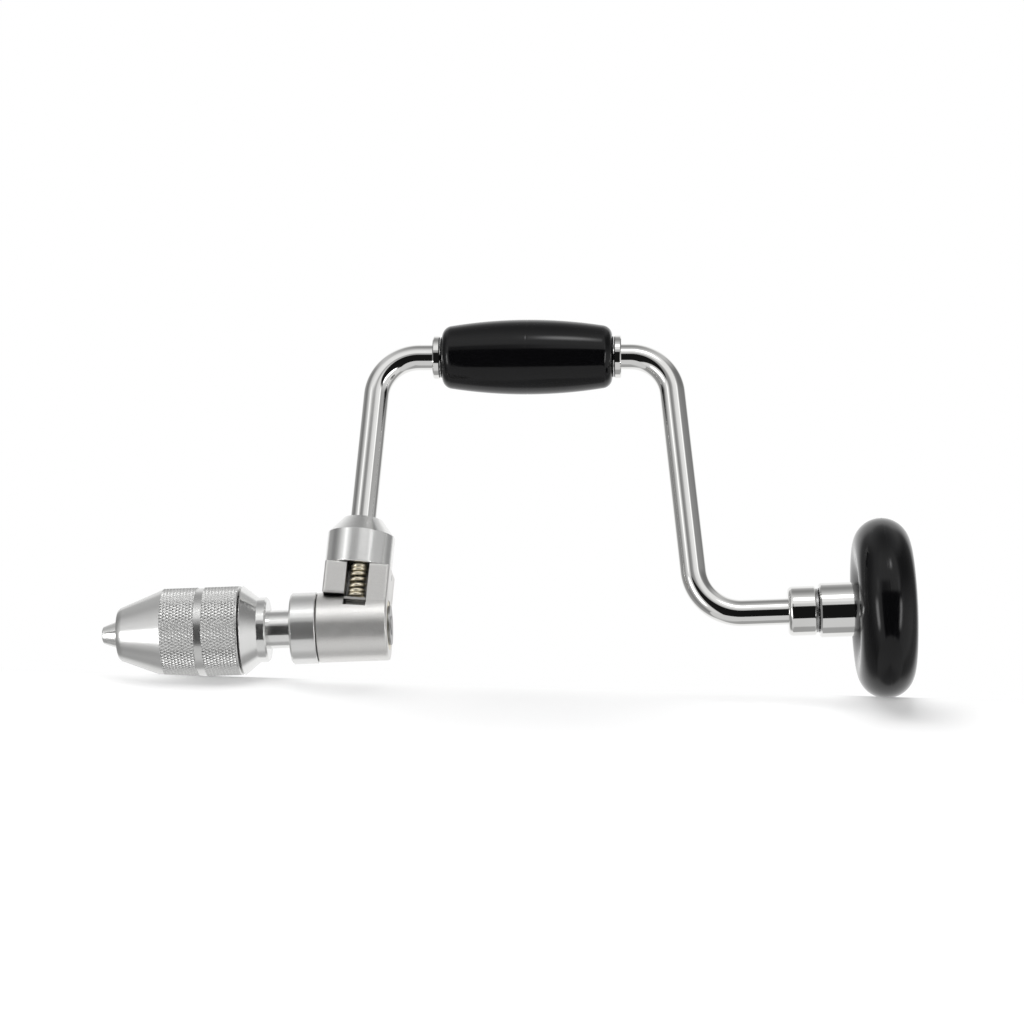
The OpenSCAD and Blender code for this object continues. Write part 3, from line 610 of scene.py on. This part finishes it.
def tube(path, frames, radius, sides):
    """Vertices and faces of a round tube along points, with an (out, side) pair at each."""
    verts = []
    for point, (out, across) in zip(path, frames):
        for k in range(sides):
            a = 2 * math.pi * k / sides
            verts.append(point + radius * (math.cos(a) * out + math.sin(a) * across))
    faces = []
    for i in range(len(path) - 1):
        for k in range(sides):
            m = (k + 1) % sides
            faces.append((i * sides + k, i * sides + m, (i + 1) * sides + m, (i + 1) * sides + k))
    faces.append(tuple(reversed(range(sides))))
    last = (len(path) - 1) * sides
    faces.append(tuple(last + k for k in range(sides)))
    return verts, faces


def finish_piece(obj, material, slot, *replaced, body=None):
    obj.data.materials.append(material)
    if body:
        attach(obj, body)
    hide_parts(*replaced)


# Chuck shell

NOSE_R = 11.9 * MM
NOSE_TURN = 110
NOSE_CONE = 21.5 * MM
CONE_STEPS = 12
CONE_FIRST = 0.05
CONE_DROP = 0.6
MOUTH_R = 6.85 * MM
MOUTH_EDGE = 0.3 * MM
MOUTH_DEPTH = 3 * MM
MOUTH_FLARE = 1.1 * MM
SHELL_BORE_R = 12.06 * MM
KNURL_DEPTH = 0.34 * MM
KNURL_COUNT = 84
KNURL_STEPS = 6
KNURL_ANGLE = 27.0
KNURL_FLAT = 2 / 3
KNURL_INSET = 0.05 * MM
BAND_GROOVE = 3.5 * MM
BAND_SHIFT = 0.4 * MM
BAND_DEPTH = 0.4 * MM
BAND_STEPS = 5
REAR_RIM = 0.7 * MM
RIM_DROP = 0.05 * MM
EDGE = 0.4 * MM
EDGE_STEPS = 4


def knurl_height(i, j):
    """Height of the diamond knurl at a lattice point, from 0 in a groove to 1 on a flat."""
    def wave(t):
        t = t / KNURL_STEPS % 1
        return abs(2 * t - 1)
    return min(wave(i + j + KNURL_STEPS / 2), wave(i - j + KNURL_STEPS / 2), KNURL_FLAT) / KNURL_FLAT


def knurled_shell():
    """The screw shell: a conical nose, two knurled bands with a groove between, and a plain rear rim."""
    low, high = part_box("chuck_shell")
    nose_x, end_x, top_r = low.x, high.x, high.z
    knurl_x = nose_x + NOSE_CONE
    groove_x = knurl_x + (end_x - knurl_x - BAND_GROOVE) / 2 - BAND_SHIFT
    groove_end_x = groove_x + BAND_GROOVE
    rim_x = end_x - REAR_RIM
    base_r = top_r - KNURL_DEPTH
    columns = KNURL_COUNT * KNURL_STEPS
    axial_pitch = 2 * math.pi * top_r / KNURL_COUNT / math.tan(math.radians(KNURL_ANGLE))

    # Rows run from the nose's mouth over the outside to the bore: place, radius, knurl row or none
    rows = []

    def plain(points):
        rows.extend((x, r, None) for x, r in points)

    plain([(nose_x + MOUTH_DEPTH, MOUTH_R + MOUTH_FLARE), (nose_x + MOUTH_EDGE, MOUTH_R),
           (nose_x, MOUTH_R + MOUTH_EDGE), (nose_x, NOSE_R - 2 * EDGE)])
    plain(arc((nose_x + EDGE, NOSE_R - 2 * EDGE), EDGE, 180, NOSE_TURN, EDGE_STEPS))
    cone_rise = top_r - KNURL_DEPTH * CONE_DROP - NOSE_R
    plain([(nose_x + (knurl_x - nose_x) * t, NOSE_R + cone_rise * t)
           for t in np.linspace(CONE_FIRST, 1, CONE_STEPS)])
    for start, end in ((knurl_x, groove_x), (groove_end_x, rim_x)):
        count = round((end - start) / axial_pitch * KNURL_STEPS)
        length = end - start - 2 * KNURL_INSET
        rows += [(start + KNURL_INSET + length * j / count, base_r, j) for j in range(count + 1)]
        if start == knurl_x:
            plain([(x, top_r - BAND_DEPTH) for x in np.linspace(groove_x, groove_end_x, BAND_STEPS)])
    plain([(rim_x, top_r - RIM_DROP), (end_x - EDGE, top_r)])
    plain(arc((end_x - EDGE, top_r - EDGE), EDGE, 90, 0, EDGE_STEPS)[1:])
    plain([(end_x, SHELL_BORE_R + EDGE), (end_x - EDGE, SHELL_BORE_R), (nose_x + MOUTH_DEPTH, SHELL_BORE_R)])

    verts = []
    for x, r, j in rows:
        for i in range(columns):
            a = 2 * math.pi * i / columns
            out = r if j is None else r + KNURL_DEPTH * knurl_height(i, j)
            verts.append((x, out * math.cos(a), out * math.sin(a)))
    faces = []
    count = len(rows)
    for k in range(count):
        m = (k + 1) % count
        j = rows[k][2]
        knurled = j is not None and rows[m][2] is not None
        for i in range(columns):
            p = (i + 1) % columns
            a, b, c, d = k * columns + i, k * columns + p, m * columns + p, m * columns + i
            if not knurled:
                faces.append((a, b, c, d))
                continue
            # A face of the knurl is cut along the groove or ridge that is nearer to it
            mid = KNURL_STEPS / 2 + 0.5
            rising = abs((i + j + 0.5 + mid) / KNURL_STEPS % 1 - 0.5)
            falling = abs((i - j - 0.5 + mid) / KNURL_STEPS % 1 - 0.5)
            faces += [(a, b, d), (b, c, d)] if rising < falling else [(a, b, c), (a, c, d)]
    shell = mesh_object("knurled_shell", verts, faces, KNURL_SHARP)
    plate = turned_metal("knurled_plate", (0.77, 0.77, 0.76), rough=0.24, spread=0.5, marks=0.2, haze=0.3)
    finish_piece(shell, plate, "turned_steel", "chuck_shell", body="shell")


# Crank rod

ROD_R = 6.0 * MM
ARM_LEAN = 6.3
LEG_LEAN = 4.0
GRIP_TILT = 2.1
BEND_TOP_R = 20.0 * MM
BEND_FOOT_R = 22.0 * MM
ARM_X = 115.65 * MM
FOOT_X = 275.05 * MM
HEAD_H = 27.6 * MM
ROD_SIDES = 72
BEND_STEPS = 28
RUN_STEPS = 24
LONG_RUN = 8 * MM


def crank_rod():
    """The bent rod, swept along its straight runs and bends in the plane of the crank."""
    def way(angle):
        return Vector((math.cos(math.radians(angle)), 0, math.sin(math.radians(angle))))

    def meet(p, a, q, b):
        """Where the line through p at angle a crosses the line through q at angle b."""
        u, w, d = way(a), way(b), q - p
        return p + u * (d.x * w.z - d.z * w.x) / (u.x * w.z - u.z * w.x)

    arm, run, leg = 90 - ARM_LEAN, -GRIP_TILT, LEG_LEAN - 90
    grip_low, grip_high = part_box("grip")
    middle = (grip_low + grip_high) / 2
    start = Vector((ARM_X, 0, 0))
    foot = Vector((FOOT_X, 0, 0))
    corners = [
        (meet(start, arm, middle, run), arm, run, BEND_TOP_R),
        (meet(middle, run, foot, leg), run, leg, BEND_TOP_R),
        (foot, leg, 0, BEND_FOOT_R),
    ]
    tail_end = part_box("crank_frame")[1].x
    path = [start + way(arm) * HEAD_H]
    ways = [arm]
    for corner, a, b, r in corners:
        reach = r * math.tan(math.radians(abs(b - a) / 2))
        side = 1 if b > a else -1
        centre = corner - way(a) * reach + way(a + side * 90) * r
        for i in range(BEND_STEPS + 1):
            angle = a + (b - a) * i / BEND_STEPS
            path.append(centre + way(angle - side * 90) * r)
            ways.append(angle)
    path.append(Vector((tail_end, 0, 0)))
    ways.append(0)
    full_path, frames = [], []
    for i, (point, angle) in enumerate(zip(path, ways)):
        long_run = i + 1 < len(path) and (path[i + 1] - point).length > LONG_RUN
        pieces = RUN_STEPS if long_run else 1
        for k in range(pieces):
            full_path.append(point.lerp(path[i + 1], k / pieces) if k else point)
            frames.append((Vector((0, -1, 0)), way(angle + 90)))
    verts, faces = tube(full_path, frames, ROD_R, ROD_SIDES)
    rod = mesh_object("crank_rod", verts, faces, TUBE_SHARP)
    finish_piece(rod, chrome("rod_chrome"), "polished_chrome", "crank_frame", body="crank")


# Pawl springs

SPRING_WIRE = 1.8 * MM
SPRING_D = 7.8 * MM
SPRING_TURNS = 7.0
SPRING_CLOSED = 0.06
SPRING_STEPS = 40
SPRING_SIDES = 16


def pawl_spring(side, node):
    """Coil spring with closed ends, stretched between the socket and its pawl."""
    lean = math.radians(ARM_LEAN)
    along = Vector((math.sin(lean), 0, math.cos(lean)))
    across = Vector((math.cos(lean), 0, -math.sin(lean)))
    deep = Vector((0, 1, 0))
    corners = [nodes[node].matrix_world @ v.co for v in nodes[node].data.vertices]
    origin = Vector((ARM_X, 0, 0))
    places = [(c - origin).dot(along) for c in corners]
    low, high = min(places), max(places)
    sideways = [(c - origin).dot(across) for c in corners]
    middle = across * (min(sideways) + max(sideways)) / 2
    middle.y = sum(c.y for c in corners) / len(corners)
    mean_r = (SPRING_D - SPRING_WIRE) / 2
    count = int(SPRING_TURNS * SPRING_STEPS)
    length = high - low - SPRING_WIRE
    path, frames = [], []
    for i in range(count + 1):
        turn = i / SPRING_STEPS
        t = i / count
        # The end turns lie closer than the turns between them
        eased = t - SPRING_CLOSED * math.sin(2 * math.pi * t)
        a = 2 * math.pi * turn + (0 if side < 0 else math.pi)
        out = math.cos(a) * across + math.sin(a) * deep
        rise = low + SPRING_WIRE / 2 + length * eased
        path.append(origin + middle + along * rise + out * mean_r)
        frames.append(out)
    pairs = []
    for i, out in enumerate(frames):
        ahead = (path[min(i + 1, count)] - path[max(i - 1, 0)]).normalized()
        square = (out - ahead * out.dot(ahead)).normalized()
        pairs.append((square, ahead.cross(square)))
    verts, faces = tube(path, pairs, SPRING_WIRE / 2, SPRING_SIDES)
    spring = mesh_object(node + "_coil", verts, faces, TUBE_SHARP)
    finish_piece(spring, brass_wire(node + "_wire"), "brass_parts", node)
    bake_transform(spring)


# Grip and pad

GRIP_CURVE_R = 230.0 * MM
GRIP_ROUND = 5.0 * MM
GRIP_L = 80.3 * MM
GRIP_STEPS = 50
GRIP_SHARE = 0.98
GRIP_ROUND_STEPS = 14
GRIP_PLAY = 0.06 * MM
BOSS_R = 9.7 * MM
BOSS_L = 0.6 * MM
BOSS_EDGE = 0.2 * MM
PAD_RIM_R = 12.8 * MM
PAD_INNER_STEPS = 59
PAD_OUTER_STEPS = 43
PAD_SWELL_R = 27.4 * MM
PAD_SWELL_START = 13.0 * MM
PAD_SWELL_SHARE = 0.99
PAD_SWELL_STEPS = 30
PAD_BORE_R = 10.02 * MM
PAD_BORE_DEPTH = 5 * MM
PAD_HUB_DEPTH = 4.0 * MM
PAD_DOME_TURN = 4
PAD_DOME_SHARE = 0.96
PAD_DOME_STEPS = 30
AXIS_R = 0.01 * MM
SEAM_TURN = 2
SEAM_DEPTH = 0.05 * MM
SEAM_WIDTH = 0.25 * MM
SEAM_STEP = 0.12 * MM
SEAM_STEPS = 5
LATHE_SIDES = 160


def seam_dip(offset):
    """Depth of a fine moulding seam at a distance from its middle."""
    return SEAM_DEPTH * math.exp(-(offset / SEAM_WIDTH) ** 2)


def moulded_grip():
    """Barrel shaped grip with rounded ends and the fine seam where its two halves meet."""
    low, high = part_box("grip")
    middle = (low + high) / 2
    tilt = math.radians(GRIP_TILT)
    grip_r = high.y
    half = GRIP_L / 2
    end = half + BOSS_L
    edge = BOSS_EDGE
    curve_y = grip_r - GRIP_CURVE_R
    round_x = half - GRIP_ROUND
    round_y = curve_y + math.sqrt((GRIP_CURVE_R - GRIP_ROUND) ** 2 - round_x ** 2)
    touch = round_x / (GRIP_CURVE_R - GRIP_ROUND)
    bore = ROD_R + GRIP_PLAY
    lean = math.degrees(math.asin(touch))
    outline = [(-end, bore), (-end, BOSS_R - edge), (-end + edge, BOSS_R), (-half, BOSS_R)]
    outline += arc((-round_x, round_y), GRIP_ROUND, 180, 90 + lean, GRIP_ROUND_STEPS)
    reach = touch * GRIP_CURVE_R
    steps = [reach * t for t in np.linspace(-GRIP_SHARE, GRIP_SHARE, GRIP_STEPS)]
    steps += [k * SEAM_STEP for k in range(-SEAM_STEPS, SEAM_STEPS + 1)]
    for x in sorted(steps):
        outline.append((x, curve_y + math.sqrt(GRIP_CURVE_R ** 2 - x * x) - seam_dip(x)))
    outline += arc((round_x, round_y), GRIP_ROUND, 90 - lean, 0, GRIP_ROUND_STEPS)
    outline += [(half, BOSS_R), (end - edge, BOSS_R), (end, BOSS_R - edge), (end, bore)]
    verts, faces = lathe(outline, LATHE_SIDES)
    place = Matrix.Translation(middle) @ Matrix.Rotation(tilt, 4, "Y")
    grip = mesh_object("moulded_grip", [place @ Vector(v) for v in verts], faces)
    finish_piece(grip, black_plastic("grip_plastic"), "black_plastic", "grip", body="handle")


def breast_pad():
    """Mushroom pad with a full round rim, a low dome and a moulding seam around the rim."""
    low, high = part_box("pad")
    rim = high.z - PAD_RIM_R
    rim_x = low.x + PAD_RIM_R
    top_x = high.x
    dome = top_x - rim_x - PAD_RIM_R
    hub_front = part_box("pad_quill")[1].x - PAD_HUB_DEPTH
    bore_end = rim_x + PAD_BORE_DEPTH
    outline = [(bore_end, AXIS_R), (bore_end, PAD_BORE_R), (hub_front, PAD_BORE_R)]
    # Swelling underside from the hub to the round of the rim
    swell_x = rim_x + PAD_SWELL_R - PAD_RIM_R
    for r in np.linspace(PAD_SWELL_START, rim * PAD_SWELL_SHARE, PAD_SWELL_STEPS):
        outline.append((swell_x - math.sqrt(PAD_SWELL_R ** 2 - (rim - r) ** 2), r))
    # Round of the rim, with the seam in its middle
    outline += arc((rim_x, rim), PAD_RIM_R, 180, 90 + SEAM_TURN, PAD_INNER_STEPS)
    for k in range(-SEAM_STEPS, SEAM_STEPS + 1):
        x = k * SEAM_STEP
        outline.append((rim_x + x, rim + math.sqrt(PAD_RIM_R ** 2 - x * x) + seam_dip(x) - SEAM_DEPTH))
    outline += arc((rim_x, rim), PAD_RIM_R, 90 - SEAM_TURN, PAD_DOME_TURN, PAD_OUTER_STEPS)
    dome_r = (rim * rim + dome * dome) / (2 * dome)
    for t in np.linspace(PAD_DOME_SHARE, 0.0, PAD_DOME_STEPS):
        r = max(rim * t, AXIS_R)
        outline.append((top_x - dome_r + math.sqrt(dome_r ** 2 - r * r), r))
    verts, faces = lathe(outline, LATHE_SIDES)
    pad = mesh_object("breast_pad", verts, faces)
    finish_piece(pad, black_plastic("pad_plastic"), "black_plastic", "pad", body="breast_pad")


# Finishes of the nodes that keep their own shape

def dress_nodes():
    """Gives each node the finish of its material slot, or one of its own."""
    turned = turned_metal("turned_plate", (0.80, 0.80, 0.79), rough=0.2, spread=0.75, marks=0.3)
    pawl = machined_steel("pawl_steel", (0.70, 0.69, 0.67), rough=0.3)
    finishes = {
        "polished_chrome": chrome(),
        "satin_nickel": blasted_metal("blasted_nickel", (0.95, 0.94, 0.92)),
        "turned_steel": turned,
        "dark_steel": machined_steel("machined_steel", (0.46, 0.46, 0.46), rough=0.35),
        "brass_parts": brass_wire("bronze"),
        "black_plastic": black_plastic("plastic"),
    }
    own = {
        "selector_ring": turned_metal("ring_plate", (0.92, 0.92, 0.91),
                                      rough=0.2, spread=0.85, marks=0.15, haze=0.45),
        "chuck_body": turned_metal("body_plate", (0.90, 0.90, 0.89),
                                   rough=0.14, spread=0.8, marks=0.15, haze=0.2),
        "arm_socket": turned_metal("socket_plate", (0.92, 0.92, 0.91),
                                   rough=0.16, spread=0.8, marks=0.3, axis="Z", haze=0.08),
        "jaw_upper": turned,
        "jaw_lower": turned,
        "pawl_front": pawl,
        "pawl_rear": pawl,
    }
    for row in frame["record"]["subparts"]:
        name = row["node"]
        for place in nodes[name].material_slots:
            place.material = own.get(name, finishes[row["material_slot"]])


make_camera()
make_world()
make_floor()
make_lights()
dress_nodes()
knurled_shell()
crank_rod()
pawl_spring(-1, "pawl_spring_front")
pawl_spring(1, "pawl_spring_rear")
moulded_grip()
breast_pad()
bpy.context.scene.view_settings.view_transform = "Standard"
